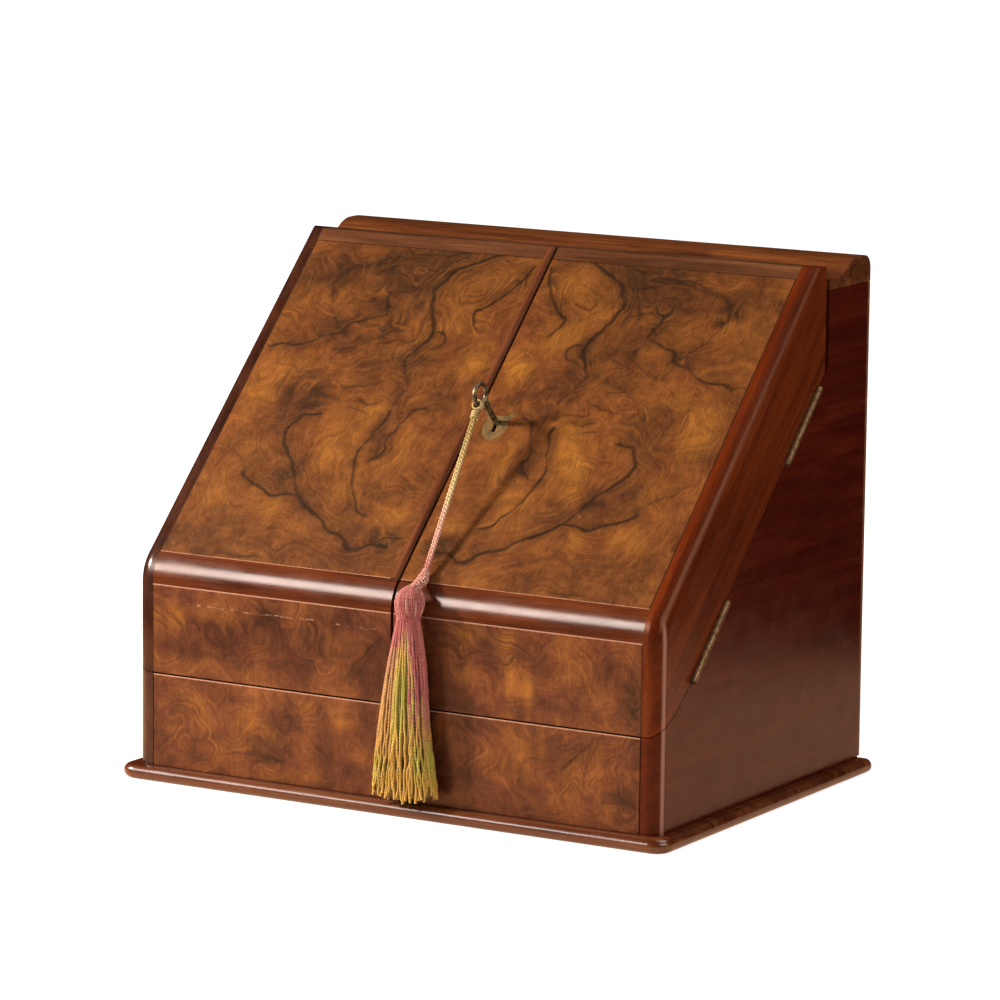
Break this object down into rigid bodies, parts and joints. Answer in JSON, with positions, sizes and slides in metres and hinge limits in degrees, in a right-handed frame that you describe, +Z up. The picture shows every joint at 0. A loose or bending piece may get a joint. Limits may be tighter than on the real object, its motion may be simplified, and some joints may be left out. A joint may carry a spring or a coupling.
{
  "type": "desk compendium",
  "caption": "Sloping walnut stationery cabinet with two hinged slope doors, a moulded rear lid, a base drawer, a fitted letter rack and a key with a cord and tassel.",
  "frame": {"origin": "on the floor under the middle of the footprint, hinge knuckles at the back included and the cord and tassel left out", "axes": "+X to the right as one faces the doors, +Y to the back, +Z up"},
  "size_m": [0.4128, 0.3017, 0.3492],
  "materials": {
    "walnut": "french polish, satin gloss",
    "burr_walnut": "burr veneer, french polish",
    "plain_wood": "waxed, matt",
    "brass": "aged, dull",
    "steel": "dark, worn",
    "glass": "clear",
    "cord_silk": "braided, soft sheen",
    "tassel_silk": "silk threads, soft sheen"
  },
  "bodies": {
    "case": {"base_board": "walnut", "case_side_left": "walnut", "case_side_right": "walnut", "case_back": "plain_wood", "back_rail": "plain_wood", "drawer_floor": "plain_wood", "compartment_wall": "plain_wood", "rack_cheeks": "burr_walnut", "rack_divider_1": "burr_walnut", "rack_divider_2": "burr_walnut", "rack_divider_3": "burr_walnut", "rack_divider_4": "burr_walnut", "pen_tray": "plain_wood", "ink_bottle_left": "glass", "ink_bottle_right": "glass", "ink_collar_left": "brass", "ink_collar_right": "brass", "hinge_case_leaves_left": "brass", "hinge_case_leaves_right": "brass", "hinge_pins_left": "steel", "hinge_pins_right": "steel", "hinge_case_screws": "brass", "lid_hinge_case_leaves": "brass", "lid_hinge_pins": "steel"},
    "door_right": {"door_right_panel": "burr_walnut", "door_right_apron": "burr_walnut", "door_right_side": "walnut", "door_right_nose": "walnut", "door_right_rail": "walnut", "hinge_door_leaves_right": "brass", "door_right_screws": "brass", "lock_case": "brass", "escutcheon": "brass", "key_cord": "cord_silk", "tassel_head": "tassel_silk", "tassel_skirt": "tassel_silk"},
    "door_left": {"door_left_panel": "burr_walnut", "door_left_apron": "burr_walnut", "door_left_side": "walnut", "door_left_nose": "walnut", "door_left_rail": "walnut", "hinge_door_leaves_left": "brass", "door_left_screws": "brass", "meeting_bead": "walnut", "lock_keeper": "brass"},
    "lock_bolt": {"lock_bolt": "brass"},
    "key": {"key": "steel", "cord_loop": "cord_silk"},
    "lid": {"lid_board": "walnut", "lid_hinge_leaves": "brass", "lid_screws": "brass"},
    "drawer": {"drawer_front": "burr_walnut", "drawer_side_left": "plain_wood", "drawer_side_right": "plain_wood", "drawer_back": "plain_wood", "drawer_bottom": "plain_wood"},
    "drawer_pin": {"drawer_pin": "brass"},
    "ink_lid_left": {"ink_lid_left": "brass"},
    "ink_lid_right": {"ink_lid_right": "brass"}
  },
  "joints": [
    {"name": "door_right_hinge", "type": "hinge", "parent": "case", "child": "door_right", "pos_m": [0.1982, -0.13711, 0.06071], "axis": [0, 0.7071, 0.7071], "range_deg": [0, 180]},
    {"name": "door_left_hinge", "type": "hinge", "parent": "case", "child": "door_left", "pos_m": [-0.1982, -0.13711, 0.06071], "axis": [0, -0.7071, -0.7071], "range_deg": [0, 180]},
    {"name": "lid_hinge", "type": "hinge", "parent": "case", "child": "lid", "pos_m": [0, 0.1441, 0.33095], "axis": [-1, 0, 0], "range_deg": [0, 100]},
    {"name": "drawer_slide", "type": "slide", "parent": "case", "child": "drawer", "axis": [0, -1, 0], "range_m": [0, 0.19], "deforming": ["tassel_skirt"]},
    {"name": "key_turn", "type": "hinge", "parent": "door_right", "child": "key", "pos_m": [0.0173, -0.03604, 0.24308], "axis": [0, -0.703, 0.7112], "range_deg": [0, 360]},
    {"name": "lock_bolt_slide", "type": "slide", "parent": "door_right", "child": "lock_bolt", "axis": [-1, 0, 0], "range_m": [0, 0.0075]},
    {"name": "drawer_pin_drop", "type": "slide", "parent": "case", "child": "drawer_pin", "axis": [0, 0, 1], "range_m": [-0.008, 0]},
    {"name": "ink_lid_left_hinge", "type": "hinge", "parent": "case", "child": "ink_lid_left", "pos_m": [-0.148, -0.0803, 0.10565], "axis": [-1, 0, 0], "range_deg": [0, 110]},
    {"name": "ink_lid_right_hinge", "type": "hinge", "parent": "case", "child": "ink_lid_right", "pos_m": [0.148, -0.0803, 0.10565], "axis": [-1, 0, 0], "range_deg": [0, 110]}
  ],
  "couplings": [
    {"joint": "key_turn", "follows": "lock_bolt_slide", "rad_per_m": 837.7}
  ]
}
